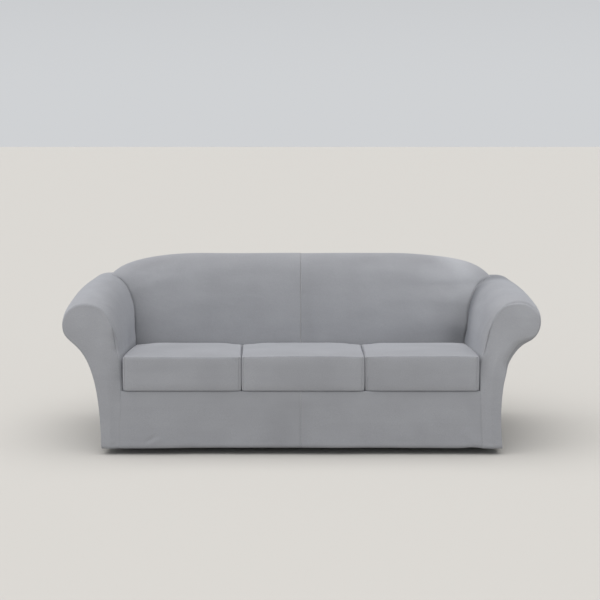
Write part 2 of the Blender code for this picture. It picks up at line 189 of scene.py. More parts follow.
# Strokes of nap and painted shading, lighter or, where negative, darker: partly nap, partly painted shade
# towards the fold and painted highlight. The same six numbers, the last one a share
SLEEVE_NAP_AND_PAINTED_SHADING = {
    -1: (
        (0.4, 0.06, 0.49, 0.88, 0.07, -0.13), (0.58, 0.34, 0.41, -0.03, 0.02, 0.04),
        (0.22, -0.06, 0.24, 0.3, 0.05, 0.16),
    ),
    1: (
        (0.1, 0.55, 0.68, 0.86, 0.13, -0.46), (0.08, 0.5, 0.46, 0.7, 0.16, -0.38),
        (0.14, 0.34, 0.36, 0.52, 0.08, -0.1), (0.65, -0.1, 0.67, 0.95, 0.06, 0.16),
        (0.37, -0.02, 0.48, 0.48, 0.06, -0.09),
    ),
}

SUEDE_GREY = (0.284, 0.286, 0.3)


def smoothstep(low, high, value):
    """0 below low, 1 above high, and 3t^2 - 2t^3 of the share between them."""
    t = np.clip((value - low) / (high - low), 0, 1)
    return t * t * (3 - 2 * t)


def between(value, rise, fall):
    """1 inside a range and 0 outside it: a smooth step up over rise times one down over fall."""
    return smoothstep(*rise, value) * (1 - smoothstep(*fall, value))


def bezier(*points, count=200):
    """Points of a cubic Bezier curve at even steps of its parameter."""
    t = np.linspace(0, 1, count)[:, None]
    a, b, c, d = (np.array(point) for point in points)
    return (1 - t) ** 3 * a + 3 * (1 - t) ** 2 * t * b + 3 * (1 - t) * t**2 * c + t**3 * d


def along(points):
    """Length run along a line of points, from its first one."""
    steps = np.linalg.norm(np.diff(points, axis=0), axis=1)
    return np.concatenate([[0], np.cumsum(steps)])


def evenly(points, count):
    """The same line as count points at even steps of its length."""
    run = along(points)
    at = np.linspace(0, run[-1], count)
    return np.stack([np.interp(at, run, column) for column in points.T], axis=1)


def bunched(count, tightness):
    """Shares from 0 to 1 that crowd at both ends: t - k sin(2 pi t) / (2 pi)."""
    t = np.linspace(0, 1, count)
    return t - tightness * np.sin(2 * pi * t) / (2 * pi)


def bell(distance, width):
    """1 at no distance, falling off as exp(-(distance / width)^2)."""
    return np.exp(-((distance / width) ** 2))


def creased(a, b, lines):
    """Height of soft ridges, and troughs where negative, over the plane (a, b).

    Each line runs from (a0, b0) to (a1, b1). Its height is a bell across its width, times the root of
    4t(1 - t) along it, so that it fades out towards both ends.
    """
    height = np.zeros(np.broadcast(a, b).shape)
    for a0, b0, a1, b1, width, rise in lines:
        run, climb = a1 - a0, b1 - b0
        t = np.clip(((a - a0) * run + (b - b0) * climb) / (run**2 + climb**2), 0, 1)
        away = np.hypot(a - a0 - t * run, b - b0 - t * climb)
        height += rise * np.sqrt(4 * t * (1 - t)) * bell(away, width)
    return height


def inner_side(side):
    """The arm's section from inside the seat up to the crest of the roll: (x, z) points."""
    roll = ROLLS[side]
    foot, crest = (ARM_INNER_X, ARM_INNER_FOOT), (roll.x, roll.z + roll.radius)
    upward = (ARM_INNER_X, ARM_INNER_FOOT + roll.inner_reach)
    line = bezier(foot, upward, (roll.x - roll.shoulder_reach, crest[1]), crest)
    line[:, 0] -= PULLED_IN[side] * bell(line[:, 1] - PULLED_HEIGHT, PULLED_SPREAD)
    return line


def outer_side(side):
    """The section from the crest round the roll, as an arc, and down the flare, as a Bezier, to the hem."""
    roll, flare = ROLLS[side], FLARES[side]
    angle = np.linspace(pi / 2, flare.roll_end, 120)
    arc = np.stack([roll.x + roll.radius * np.cos(angle), roll.z + roll.radius * np.sin(angle)], axis=1)
    onward = np.array((sin(flare.roll_end), -cos(flare.roll_end)))
    foot = np.array((flare.foot_x, HEM_HEIGHT))
    upward = np.array((flare.foot_lean, 1))
    fall = bezier(arc[-1], arc[-1] + flare.roll_reach * onward, foot + flare.foot_reach * upward, foot)
    return np.concatenate([arc[1:], fall[1:]])


def whole_section(side):
    """The inner side and the outer side as one line."""
    return np.concatenate([inner_side(side), outer_side(side)])


def outward(section):
    """Unit normals of a section, pointing out of the arm."""
    tangent = np.gradient(section, axis=0)
    normal = np.stack([-tangent[:, 1], tangent[:, 0]], axis=1)
    return normal / np.linalg.norm(normal, axis=1, keepdims=True)


def swell(side, height, y):
    """How far the padding pushes the sleeve out above the seat: nothing at the facing, most halfway back."""
    roll = ROLLS[side]
    released = 1 - (1 - np.clip(y / roll.swell_depth, 0, 1)) ** 2
    padding = roll.swell * released + roll.belly * np.sin(pi * y / DEPTH)
    return smoothstep(*SWELL_HEIGHTS, height) * padding


def lifted(side, height, y):
    """Heights on the arm at depth y: it climbs towards the back, more the higher up the section."""
    roll = ROLLS[side]
    share = (height - ARM_INNER_FOOT) / (roll.z + roll.radius - ARM_INNER_FOOT)
    return height + roll.rise * y / DEPTH * np.clip(share, 0, None)


def on_arm(side, section, out, y):
    """x and height of a section's points, moved out along its normals and lifted for their depth."""
    moved = section + out[..., None] * outward(section)
    return moved[..., 0], lifted(side, moved[..., 1], y)


def arch(x):
    """Height of the back's top at x: level in the middle, then a superellipse down to its ends."""
    t = np.clip((np.abs(x) - ARCH_FLAT) / (ARCH_HALF_WIDTH - ARCH_FLAT), 0, 0.9999)
    return BACK_TOP - ARCH_DROP * (1 - (1 - t**2) ** ARCH_POWER)


def back_front_curve():
    """The middle profile of the back's front face, from the seat to the crest: (y, z) points."""
    lower = (BACK_FOOT[0] + BACK_LEAN[0], BACK_FOOT[1] + BACK_LEAN[1])
    upper = (BACK_CREST_Y - BACK_SHOULDER, BACK_TOP)
    return bezier(BACK_FOOT, lower, upper, (BACK_CREST_Y, BACK_TOP), count=400)


def back_front_y(x, height):
    """Depth of the back's front face at x and a height. Above the crest it is the crest's depth."""
    points = back_front_curve()
    scale = (arch(x) - BACK_FOOT[1]) / (BACK_TOP - BACK_FOOT[1])
    return np.interp(BACK_FOOT[1] + (height - BACK_FOOT[1]) / scale, points[:, 1], points[:, 0])


def arm_meets_back(side, section):
    """Depth at which each point of the section runs into the back's front face."""
    y = np.full(len(section), BACK_CREST_Y)
    for _ in range(8):
        y = back_front_y(*on_arm(side, section, swell(side, section[:, 1], y), y))
    return y


def back_end_x(side):
    """The x at which the arm's top behind is as high as the straight seam there, where the back ends."""
    section = inner_side(side)
    x, z = on_arm(side, section, swell(side, section[:, 1], DEPTH), DEPTH)
    return float(np.interp(REAR_SEAM_HEIGHT, z, x))


def eased(height, values):
    """A value for each height from those at the fold's heights, with a smooth step between neighbours."""
    place = np.interp(height, FOLD_HEIGHTS, np.arange(len(FOLD_HEIGHTS)))
    share = place - np.floor(place)
    return np.interp(np.floor(place) + share * share * (3 - 2 * share), np.arange(len(values)), values)


def behind_plan(side, height):
    """How far behind the plain curve of the back its face enters the fold beside the arm."""
    return eased(height, BACK_TURNS[side]) + eased(height, BACK_LEANS[side])


def drawn_back(side, height):
    """How far the inner edge of the arm's front is drawn back at a height."""
    return DRAWN_BACK[side] * between(height, *DRAWN_HEIGHTS)


def front_lean(height):
    """How far the arm's front leans back at a height: level up to the seat, then along a slope."""
    above = np.clip(height - FRONT_LEAN_FROM, 0, None)
    return FRONT_LEAN * above**2 / (above + FRONT_LEAN_EASE)


def hem_curl(above):
    """How far the cloth curls in at a height above its hem."""
    return HEM_CURL * (1 - smoothstep(0, HEM_CURL_LENGTH, above)) ** 2


def past_crest(side, x):
    """0 on an arm's inner side, 1 on its roll and its outer side."""
    return smoothstep(ROLLS[side].x - 0.08, ROLLS[side].x - 0.04, x)


def edge_radius(section, side):
    """Radius of the corner at the facing for each point of the section."""
    x, z = section.T
    above_cushion = between(z, *SOFT_HEIGHTS) * (1 - past_crest(side, x))
    in_flare = between(z, *FLARE_HEIGHTS) * smoothstep(*FLARE_X, x)
    on_roll = smoothstep(*ROLL_HEIGHTS, z) * smoothstep(*ROLL_X, x)
    outer = FLARE_EDGE[side] * in_flare + ROLL_EDGE[side] * on_roll
    return CRISP_EDGE + (SOFT_EDGE[side] - CRISP_EDGE) * above_cushion + outer


def seam_depth(section, side):
    """How deep the edge seam lies: fully round the roll, fading down the inner side."""
    x, z = section.T
    return SEAM_DIP * np.maximum(past_crest(side, x), smoothstep(*SEAM_FADES[side], z))


def rounded(distance, radius):
    """How far a quarter-round corner falls away at a distance from its edge: r - sqrt(r^2 - (r - d)^2)."""
    gone = np.clip(radius - distance, 0, radius)
    return radius - np.sqrt(radius**2 - gone**2)


def placed(grid):
    """Points from heights above the floor and depths behind the front plane to the frame's own origin.

    On the way, what is high up and far back sinks: by a bell round each arm's crest, and by a smooth step
    towards the right end of the back.
    """
    x, y, z = grid.T
    right = x > 0
    arm = np.where(right, SUNK_ARM[1], SUNK_ARM[-1]) * bell(np.abs(x) - SUNK_CREST_X, SUNK_CREST_WIDTH)
    past_shoulder = 1 - (1 - SUNK_PAST_SHOULDER) * smoothstep(*SUNK_SHOULDER_TO, x)
    shoulder = SUNK_SHOULDER * smoothstep(*SUNK_SHOULDER_FROM, x) * past_shoulder
    sunk = (arm + shoulder) * smoothstep(*SUNK_DEPTHS, y) * smoothstep(*SUNK_HEIGHTS, z)
    return grid + np.array((0, FRONT, FLOOR)) - sunk[..., None] * np.array((0, 0, 1))


def node(tree, kind, outlet, inputs, **settings):
    """An outlet of a new shader node. Each input is a value or the outlet of another node."""
    made = tree.nodes.new("ShaderNode" + kind)
    for name, value in settings.items():
        setattr(made, name, value)
    for socket, value in inputs.items():
        if isinstance(value, bpy.types.NodeSocket):
            tree.links.new(value, made.inputs[socket])
        else:
            made.inputs[socket].default_value = value
    return made.outputs[outlet]


def finish(name, inputs):
    """A new material and its shader, with these values of the shader's inputs."""
    material = bpy.data.materials.new(name)
    material.use_nodes = True
    shader = material.node_tree.nodes["Principled BSDF"]
    for socket, value in inputs.items():
        shader.inputs[socket].default_value = value
    return material, shader


def suede(name, color):
    """Brushed suede: cloudy nap a few percent lighter and darker, faint brush streaks, a soft sheen.

    Where the mesh has strokes of nap and painted shading, one plus their height lightens or darkens it. This
    is partly nap, and partly painted shade and painted highlight standing in for how the light falls.
    """
    sheen = {"Sheen Weight": 0.22, "Sheen Roughness": 0.45, "Sheen Tint": (0.86, 0.9, 1.0, 1)}
    material, shader = finish(name, {"Roughness": 0.88, "Specular IOR Level": 0.18, **sheen})
    tree = material.node_tree
    where = node(tree, "TexCoord", "Object", {})

    def noise(scale, detail, stretch=(1, 1, 1)):
        place = node(tree, "Mapping", "Vector", {"Scale": stretch, "Vector": where})
        return node(tree, "TexNoise", "Fac", {"Scale": scale, "Detail": detail, "Vector": place})

    def spread(value, low, high):
        ends = {"From Min": 0.3, "From Max": 0.7, "To Min": low, "To Max": high}
        return node(tree, "MapRange", "Result", {"Value": value, **ends})

    clouds = spread(noise(7, 3), 0.965, 1.035)
    streaks = spread(noise(9, 2, (0.5, 0.5, 3)), 0.985, 1.015)
    nap = spread(noise(420, 2), 0.93, 1.07)
    # Painted shade and highlight, partly nap: an attribute that darkens or lightens the base colour
    nap_and_painted_shading = node(tree, "Attribute", "Fac", {}, attribute_name="nap_and_painted_shading")
    nap_and_painted_shading_factor = node(tree, "Math", "Value", {0: nap_and_painted_shading, 1: 1})
    shade = clouds
    for factor in (streaks, nap, nap_and_painted_shading_factor):
        shade = node(tree, "Math", "Value", {0: shade, 1: factor}, operation="MULTIPLY")
    mixed = {"Factor": 1, "A": (*color, 1), "B": shade}
    tint = node(tree, "Mix", "Result", mixed, data_type="RGBA", blend_type="MULTIPLY")
    tree.links.new(tint, shader.inputs["Base Color"])

    pile = {"Strength": 0.35, "Distance": 0.0006, "Height": noise(650, 3, (1, 1, 0.6))}
    brushed = {"Strength": 0.25, "Distance": 0.004, "Height": noise(28, 3)}
    normal = node(tree, "Bump", "Normal", {**brushed, "Normal": node(tree, "Bump", "Normal", pile)})
    tree.links.new(normal, shader.inputs["Normal"])
    return material


def added(name, data):
    """A new object in the scene, at the origin."""
    item = bpy.data.objects.new(name, data)
    bpy.context.scene.collection.objects.link(item)
    return item


def cloth(name, grids, inside, material, nap_and_painted_shading=None):
    """A sheet over one or more grids of points, rows by columns. Faces turn away from the point inside.

    Strokes of nap and painted shading, one value a point, become an attribute for the material. They are
    partly nap, and partly painted shade and highlight.
    """
    points, faces, start = [], [], 0
    for grid in grids:
        rows, columns = grid.shape[:2]
        index = start + np.arange(rows * columns).reshape(rows, columns)
        quads = np.stack([index[:-1, :-1], index[:-1, 1:], index[1:, 1:], index[1:, :-1]], axis=-1)
        faces.append(quads.reshape(-1, 4))
        points.append(grid.reshape(-1, 3))
        start += rows * columns
    points = placed(np.concatenate(points))
    faces = np.concatenate(faces)
    corners = points[faces]
    normal = np.cross(corners[:, 2] - corners[:, 0], corners[:, 3] - corners[:, 1])
    if np.sum(normal * (corners.mean(axis=1) - placed(np.array(inside)))) < 0:
        faces = faces[:, ::-1]
    mesh = bpy.data.meshes.new(name)
    mesh.from_pydata(points.tolist(), [], faces.tolist())
    mesh.materials.append(material)
    mesh.shade_smooth()
    if nap_and_painted_shading is not None:
        mesh.attributes.new("nap_and_painted_shading", "FLOAT", "POINT").data.foreach_set("value", np.ravel(nap_and_painted_shading))
    piece = added(name, mesh)
    joined = piece.modifiers.new("join", "WELD")
    joined.merge_threshold = WELD_WITHIN
    thick = piece.modifiers.new("thickness", "SOLIDIFY")
    thick.thickness = CLOTH
    thick.offset = -1
    return piece


def sleeve_grid(side):
    """The section as seen from the front, carried back in rows that crowd at the facing and at the fold."""
    roll = ROLLS[side]
    section = evenly(whole_section(side), SECTION_POINTS)
    run = along(section)
    radius = edge_radius(section, side)
    seam = SEAM_SHARE * radius
    meets = arm_meets_back(side, section)
    full_x, full_z = on_arm(side, section, swell(side, section[:, 1], meets), meets)
    rear = DEPTH - CLOTH - SEAM_GAP
    past_back = smoothstep(*(back_end_x(side) - np.array(BACK_END_BLEND)), full_x)
    on_inner = np.arange(len(section)) <= int(np.argmax(section[:, 1]))
    behind = meets + behind_plan(side, full_z)
    tucked = behind + FOLD_ALLOWANCE
    ends = np.where(on_inner, np.minimum(tucked + (rear - tucked) * past_back, rear), rear)
    last = roll.swell_depth
    near = 2 * bunched(2 * NEAR_ROWS - 1, 0.9)[:NEAR_ROWS, None]
    far = np.sin(pi / 2 * np.linspace(0, 1, FAR_ROWS))[1:, None]
    y = np.concatenate([seam + near * (last - seam), last + far * (ends - last)])
    out = swell(side, section[:, 1], y) - rounded(y, radius)
    out -= seam_depth(section, side) * bell(y - seam, SEAM_WIDTH)
    fold = behind - y
    folded = FOLD_RIDGE * bell(fold - FOLD_RIDGE_AT, FOLD_RIDGE_WIDTH) - FOLD_DIP * bell(fold, FOLD_WIDTH)
    folded -= eased(full_z, FOLD_HOLLOWS[side]) * bell(np.clip(fold, 0, None), HOLLOW_WIDTH)
    out += folded * on_inner * (1 - past_back)
    out -= hem_curl(run[-1] - run)
    low = smoothstep(*SLACK_HEIGHTS, section[:, 1]) * (~on_inner)
    ripples = SLACK_RIPPLE * np.sin(9.0 * y + 1.1) + SLACK_FINE_RIPPLE * np.sin(21.0 * y + 0.4 * side)
    out += low * ripples * smoothstep(0, 0.1, y)
    out += creased(run[None, :], y, SLEEVE_CREASES[side])
    by_cushion = between(section[:, 1], *GAP_HEIGHTS) * on_inner
    eased_bulge = 1 - GAP_EASED_BY * smoothstep(*GAP_EASE, y)
    out += GAP_BULGE[side] * by_cushion * smoothstep(0, GAP_RISE, y) * eased_bulge
    x, z = on_arm(side, section, out, y)
    back = front_lean(section[:, 1]) + drawn_back(side, section[:, 1]) * on_inner
    grid = np.stack([side * x, y + back * (1 - smoothstep(0, FRONT_LEAN_FADE, y)), z], axis=-1)
    return grid, creased(run[None, :], y, SLEEVE_NAP_AND_PAINTED_SHADING[side])


cover_suede = suede("cover_suede", SUEDE_GREY)
ARM_MIDDLES = {-1: (-0.93, 0.45, 0.4), 1: (0.93, 0.45, 0.4)}
for side, label in SIDES:
    grid, nap_and_painted_shading = sleeve_grid(side)
    sleeve = cloth(f"sleeve_{label}", [grid], ARM_MIDDLES[side], cover_suede, nap_and_painted_shading)
    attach(sleeve, "root")
    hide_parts(f"arm_{label}")


# Arm facings
# Each facing is a scroll-shaped panel of the same suede, in a slightly lighter grey: painted light, standing
# in for the light that falls on the facings. It is sewn all round to the sleeve and, below the seat, to the
# skirt. The arm's padding pushes it out a little in the middle.
SEAT_HEIGHT = 0.2955
SKIRT_SEAM_FOOT_X = 0.823
SKIRT_SEAM_DIP = 0.0008
# How far the padding pushes the middle out, and how far in from the edge that and the drawing back reach
FACING_PILLOW = 0.007
PILLOW_WIDTH = 0.045
DRAWN_WIDTH = 0.07
# A shallow trough just inside the right seam above the cushion
TROUGH = {-1: 0.0, 1: 0.0036}
TROUGH_HEIGHTS = ((0.44, 0.49), (0.57, 0.62))
TROUGH_IN = 0.001
TROUGH_WIDTH = 0.009
INNER_POINTS = 110
SEAM_POINTS = 40
HEM_ROWS = (0, 0.004, 0.008, 0.013)
# A lighter copy of the suede's grey: painted light on the facings
FACING_PAINTED_LIGHTER_GREY = (0.294, 0.296, 0.31)
# x, height, to x, height, width, rise; and for strokes of nap and painted shading, partly painted shade by
# the inner edge and painted highlight on the face, a share
FACING_CREASES = {
    -1: (
        (0.835, 0.052, 0.872, 0.047, 0.006, -0.002), (0.83, 0.066, 0.868, 0.06, 0.006, 0.0012),
        (0.87, 0.43, 0.905, 0.53, 0.022, 0.0018),
    ),
    1: (
        (0.845, 0.058, 0.88, 0.05, 0.006, -0.0018), (0.835, 0.33, 0.85, 0.46, 0.012, -0.0015),
        (0.88, 0.42, 0.93, 0.54, 0.024, 0.0018),
    ),
}
FACING_NAP_AND_PAINTED_SHADING = {
    -1: (
        (0.84, 0.4, 0.89, 0.66, 0.05, 0.05), (0.9, 0.46, 1.02, 0.62, 0.055, 0.05),
        (0.812, 0.24, 0.82, 0.52, 0.035, -0.1),
    ),
    1: (
        (0.92, 0.34, 1.05, 0.7, 0.08, 0.12), (0.85, 0.4, 0.96, 0.52, 0.03, 0.05),
        (0.812, 0.36, 0.84, 0.64, 0.022, -0.09),
    ),
}


def skirt_seam_x(height):
    """The upright seam between the skirt and the facing, which leans in a little towards the seat."""
    share = (height - HEM_HEIGHT) / (SEAT_HEIGHT - HEM_HEIGHT)
    return SKIRT_SEAM_FOOT_X + (ARM_INNER_X - SKIRT_SEAM_FOOT_X) * np.clip(share, 0, 1)


def nearest(x, z, line):
    """Distance from each point to a line of points, and how far along the line its nearest place is."""
    start, step = line[:-1], np.diff(line, axis=0)
    dx = x[..., None] - start[:, 0]
    dz = z[..., None] - start[:, 1]
    t = np.clip((dx * step[:, 0] + dz * step[:, 1]) / np.sum(step**2, axis=1), 0, 1)
    away = np.hypot(dx - t * step[:, 0], dz - t * step[:, 1])
    best = np.argmin(away, axis=-1)[..., None]
    place = best + np.take_along_axis(t, best, axis=-1)
    return np.take_along_axis(away, best, axis=-1)[..., 0], place[..., 0]


def facing_grid(side):
    """Level rows from the inner to the outer edge. The face falls back as a quarter-round at its edge."""
    inner = evenly(inner_side(side), INNER_POINTS)
    inner = inner[inner[:, 1] > SEAT_HEIGHT]
    outer = evenly(outer_side(side), SECTION_POINTS)
    seam_z = np.linspace(HEM_HEIGHT, SEAT_HEIGHT, SEAM_POINTS)
    seam = np.stack([skirt_seam_x(seam_z), seam_z], axis=1)
    outline = np.concatenate([seam, inner, outer])
    above_skirt = np.arange(len(outline)) >= len(seam)
    radius = edge_radius(outline, side) * above_skirt
    dip = np.where(above_skirt, seam_depth(outline, side), SKIRT_SEAM_DIP)
    edge = outline - (SEAM_SHARE * radius + SEAM_GAP)[:, None] * outward(outline)
    top = int(np.argmax(edge[:, 1]))
    roll_z = ROLLS[side].z
    above = roll_z + (edge[top, 1] - roll_z) * np.sin(np.linspace(0, pi / 2, 50))
    below = np.concatenate([HEM_ROWS, np.linspace(0.02, roll_z - HEM_HEIGHT, 80)])
    z = np.concatenate([HEM_HEIGHT + below, above[1:]])[:, None]
    left = np.interp(z, edge[: top + 1, 1], edge[: top + 1, 0])
    right = np.interp(z, edge[top:, 1][::-1], edge[top:, 0][::-1])
    x = left + (right - left) * bunched(56, 0.93)
    z = np.broadcast_to(z, x.shape)
    distance, place = nearest(x, z, outline)
    count = np.arange(len(outline))
    corner = np.interp(place, count, radius)
    in_seam = bell(distance - SEAM_SHARE * corner, SEAM_WIDTH)
    y = rounded(distance, corner) + np.interp(place, count, dip) * in_seam
    y = y - FACING_PILLOW * (1 - bell(distance, PILLOW_WIDTH))
    y = y + hem_curl(z - HEM_HEIGHT)
    y = y + drawn_back(side, z) * np.clip(1 - (x - left) / DRAWN_WIDTH, 0, 1) ** 2
    y = y - creased(x, z, FACING_CREASES[side]) + front_lean(z)
    y = y + TROUGH[side] * between(z, *TROUGH_HEIGHTS) * bell(x - left - TROUGH_IN, TROUGH_WIDTH)
    return np.stack([side * x, y, z], axis=-1), creased(x, z, FACING_NAP_AND_PAINTED_SHADING[side])


# The facings' suede is painted lighter, standing in for the light on them
facing_painted_lighter_suede = suede("facing_painted_lighter_suede", FACING_PAINTED_LIGHTER_GREY)
for side, label in SIDES:
    grid, nap_and_painted_shading = facing_grid(side)
    facing = cloth(f"facing_{label}", [grid], ARM_MIDDLES[side], facing_painted_lighter_suede, nap_and_painted_shading)
    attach(facing, "root")
    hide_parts(f"arm_front_{label}")


# Inside back
# Two panels of suede go up from the seat, over the rounded top and a little way down behind. They are
# joined by an upright seam in the middle, and each runs into a deep fold beside its arm.
# The middle seam dips more near the top and less behind, and the right panel lies lower beside it
BACK_SEAM_DIP = 0.003
BACK_SEAM_TOP_DIP = 0.004
BACK_SEAM_DEEPENS = (0.5, 0.62)
BACK_SEAM_BEHIND = 0.3
BACK_SEAM_WIDTH = 0.0018
BACK_SEAM_STEP = {-1: 0.0, 1: 0.0045}
STEP_X = ((0, 0.065), (0.12, 0.55))
# Beside the arm the panel turns away, dips into the fold and runs on a little into the sleeve
BACK_TURN_WIDTH = {-1: 0.07, 1: 0.09}
BACK_FOLD_DIP = 0.005
BACK_FOLD_WIDTH = 0.009
BACK_TUCK = 0.004
LEAN_X = (0.3, 0.8)
BACK_WAVE = 0.001
HALVINGS = 30
# x, run up the panel from the seat, to x, run, width, rise; and for strokes of nap and painted shading,
# partly painted highlight on the right shoulder and painted shade, a share
BACK_CREASES = {
    -1: (
        (0.62, 0.52, 0.9, 0.44, 0.03, 0.0022), (0.6, 0.6, 0.86, 0.55, 0.022, -0.0018),
        (0.3, 0.4, 0.75, 0.33, 0.045, 0.0022), (0.08, 0.52, 0.4, 0.5, 0.03, -0.0014),
    ),
    1: (
        (0.55, 0.58, 0.86, 0.46, 0.03, 0.0014), (0.6, 0.52, 0.88, 0.38, 0.024, -0.0008),
        (0.2, 0.37, 0.7, 0.3, 0.045, 0.0022), (0.05, 0.56, 0.45, 0.58, 0.03, -0.0014),
        (0.004, 0.405, 0.022, 0.425, 0.006, -0.002),
    ),
}
BACK_NAP_AND_PAINTED_SHADING = {
    -1: (
        (0.5, 0.46, 0.88, 0.28, 0.08, 0.05), (0.46, 0.54, 0.78, 0.5, 0.04, 0.05),
        (0.46, 0.3, 0.78, 0.28, 0.05, 0.04), (-0.15, 0.63, 0.95, 0.63, 0.034, -0.07),
        (0.2, 0.46, 0.48, 0.46, 0.05, -0.03),
    ),
    1: (
        (0.71, 0.74, 0.95, 0.35, 0.082, 0.25), (0.15, 0.44, 0.95, 0.36, 0.1, 0.06),
        (0.28, 0.55, 0.74, 0.54, 0.035, 0.07), (0.36, 0.3, 0.66, 0.28, 0.05, 0.05),
        (0.58, 0.54, 0.84, 0.46, 0.042, 0.11), (0.76, 0.46, 0.83, 0.24, 0.05, 0.13),
        (-0.15, 0.63, 0.7, 0.63, 0.034, -0.07), (0.02, 0.46, 0.05, 0.12, 0.05, -0.05),
        (0.4, 0.2, 0.85, 0.2, 0.05, -0.03),
    ),
}


def back_profile():
    """Rows from the foot over the crest to the rear seam: (y, z) points and the height each scales from."""
    front = evenly(back_front_curve(), 80)
    angle = np.linspace(0, pi / 2, 22)[1:]
    drop = BACK_TOP - REAR_SEAM_HEIGHT
    reach = DEPTH - BACK_CREST_Y
    rear = np.stack([BACK_CREST_Y + reach * np.sin(angle), BACK_TOP - drop * (1 - np.cos(angle))], axis=1)
    base = np.concatenate([np.full(len(front), BACK_FOOT[1]), np.full(len(rear), REAR_SEAM_HEIGHT)])
    return np.concatenate([front, rear]), base


def back_height(x, profile, base):
    """Each row's height at x: the profile is scaled up from its base to the arch's height there."""
    return base + (profile[:, 1] - base) * (arch(x) - base) / (BACK_TOP - base)


def back_ends(side, profile, base):
    """The x at which each row has run a little way into the sleeve, found by halving."""
    section = inner_side(side)
    y = profile[:, :1]
    tuck = BACK_TUCK + eased(section[:, 1], FOLD_HOLLOWS[side])
    x, z = on_arm(side, section, swell(side, section[:, 1], y) - tuck, y)
    low = np.full(len(profile), ARM_INNER_X - 0.05)
    high = np.full(len(profile), ROLLS[side].x)
    for _ in range(HALVINGS):
        middle = (low + high) / 2
        height = back_height(middle, profile, base)
        sleeve = np.array([np.interp(*row) for row in zip(height, z, x)])
        clear = middle < sleeve
        low = np.where(clear, middle, low)
        high = np.where(clear, high, middle)
    return low


def back_grid(side):
    """Rows up the profile, columns from the middle seam out to the sleeve."""
    profile, base = back_profile()
    ends = back_ends(side, profile, base)[:, None]
    x = SEAM_GAP + (ends - SEAM_GAP) * bunched(110, 0.92)
    z = back_height(x.T, profile, base).T
    y = np.broadcast_to(profile[:, :1], x.shape)
    grid = np.stack([x, y, z], axis=-1)
    upward = np.gradient(grid, axis=0)
    across = np.gradient(grid, axis=1)
    normal = np.cross(across, upward)
    normal /= np.linalg.norm(normal, axis=2, keepdims=True)
    run = along(profile)[:, None]
    seam = BACK_SEAM_DIP + (BACK_SEAM_TOP_DIP - BACK_SEAM_DIP) * smoothstep(*BACK_SEAM_DEEPENS, run)
    facing_front = np.clip(-normal[..., 1], 0, 1)
    rise = -seam * bell(x, BACK_SEAM_WIDTH) * (BACK_SEAM_BEHIND + (1 - BACK_SEAM_BEHIND) * facing_front)
    rise -= BACK_SEAM_STEP[side] * between(x, *STEP_X) * facing_front**2
    rise += BACK_WAVE * np.sin(11.0 * x + 2.0 * side) * np.sin(14.0 * run + 1.0)
    rise += creased(x, run, BACK_CREASES[side])
    grid = grid + rise[..., None] * normal
    beside = ends - x
    turned = eased(z, BACK_TURNS[side]) * bell(beside, BACK_TURN_WIDTH[side])
    turned += BACK_FOLD_DIP * bell(beside, BACK_FOLD_WIDTH)
    over_crest = np.clip((DEPTH - y) / (DEPTH - BACK_CREST_Y), 0, 1)
    turned = turned * over_crest
    leaned = eased(z, BACK_LEANS[side]) * smoothstep(*LEAN_X, x) * over_crest
    grid[..., 1] += turned * facing_front + leaned
    grid[-1, :, 2] += SEAM_GAP
    return grid * (side, 1, 1), creased(x, run, BACK_NAP_AND_PAINTED_SHADING[side])


BACK_MIDDLE = (0, 0.8, 0.45)
for side, label in SIDES:
    grid, nap_and_painted_shading = back_grid(side)
    inside_back = cloth(f"inside_back_{label}", [grid], BACK_MIDDLE, cover_suede, nap_and_painted_shading)
    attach(inside_back, "root")
    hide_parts(f"back_{label}")


# Outside back
# Two plain panels hang straight down behind, from the seam under the rounded top to the hem, joined by a
# seam in the middle. At the sides they follow the arms' outline, where the sleeves are sewn to them.
OUTER_SAG = 0.004
LEAST_WIDTH = 0.004
# Columns in the wide block and in the side block
OUTER_COLUMNS = (80, 14)


def outer_back_grids(side):
    """A wide block out to where the back ends, and a side block that follows the arm's outline."""
    seam_height = REAR_SEAM_HEIGHT - SEAM_GAP
    end = back_end_x(side)
    whole = whole_section(side)
    outline = np.stack(on_arm(side, whole, swell(side, whole[:, 1], DEPTH), DEPTH), axis=1)
    top = int(np.argmax(outline[:, 1]))
    low_z = HEM_HEIGHT + (seam_height - HEM_HEIGHT) * bunched(64, 0.8)
    cap_z = seam_height + (outline[top, 1] - seam_height) * np.sin(np.linspace(0, pi / 2, 10))[1:]
    side_z = np.concatenate([low_z, cap_z])[:, None]
    left = np.interp(side_z, outline[: top + 1, 1], outline[: top + 1, 0])
    left = np.where(side_z <= seam_height, end, np.maximum(left, end))
    right = np.interp(side_z, outline[top:, 1][::-1], outline[top:, 0][::-1])
    right = np.where(side_z <= seam_height, right, np.maximum(right, left))
    narrow = right < end
    wide_end = np.where(narrow, right - LEAST_WIDTH, end)[: len(low_z)]
    left = np.where(narrow, right - LEAST_WIDTH, left)
    spans = ((SEAM_GAP, wide_end, low_z[:, None]), (left, right, side_z))
    blocks = []
    for (first, last, heights), count in zip(spans, OUTER_COLUMNS):
        x = first + (last - first) * bunched(count, 0.7)
        z = np.broadcast_to(heights, x.shape)
        low = smoothstep(seam_height, HEM_HEIGHT, z)
        away = np.sin(pi * np.clip(x, 0, 1))
        y = DEPTH - OUTER_SAG * low * away * (1 + np.sin(6.0 * x + side) + 0.5 * np.sin(15.0 * x))
        y = y - BACK_SEAM_DIP * bell(x, BACK_SEAM_WIDTH)
        y = y - hem_curl(z - HEM_HEIGHT)
        blocks.append(np.stack([side * x, y, z], axis=-1))
    return blocks


for side, label in SIDES:
    outside_back = cloth(f"outside_back_{label}", outer_back_grids(side), BACK_MIDDLE, cover_suede)
    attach(outside_back, "root")
    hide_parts(f"back_outer_{label}")


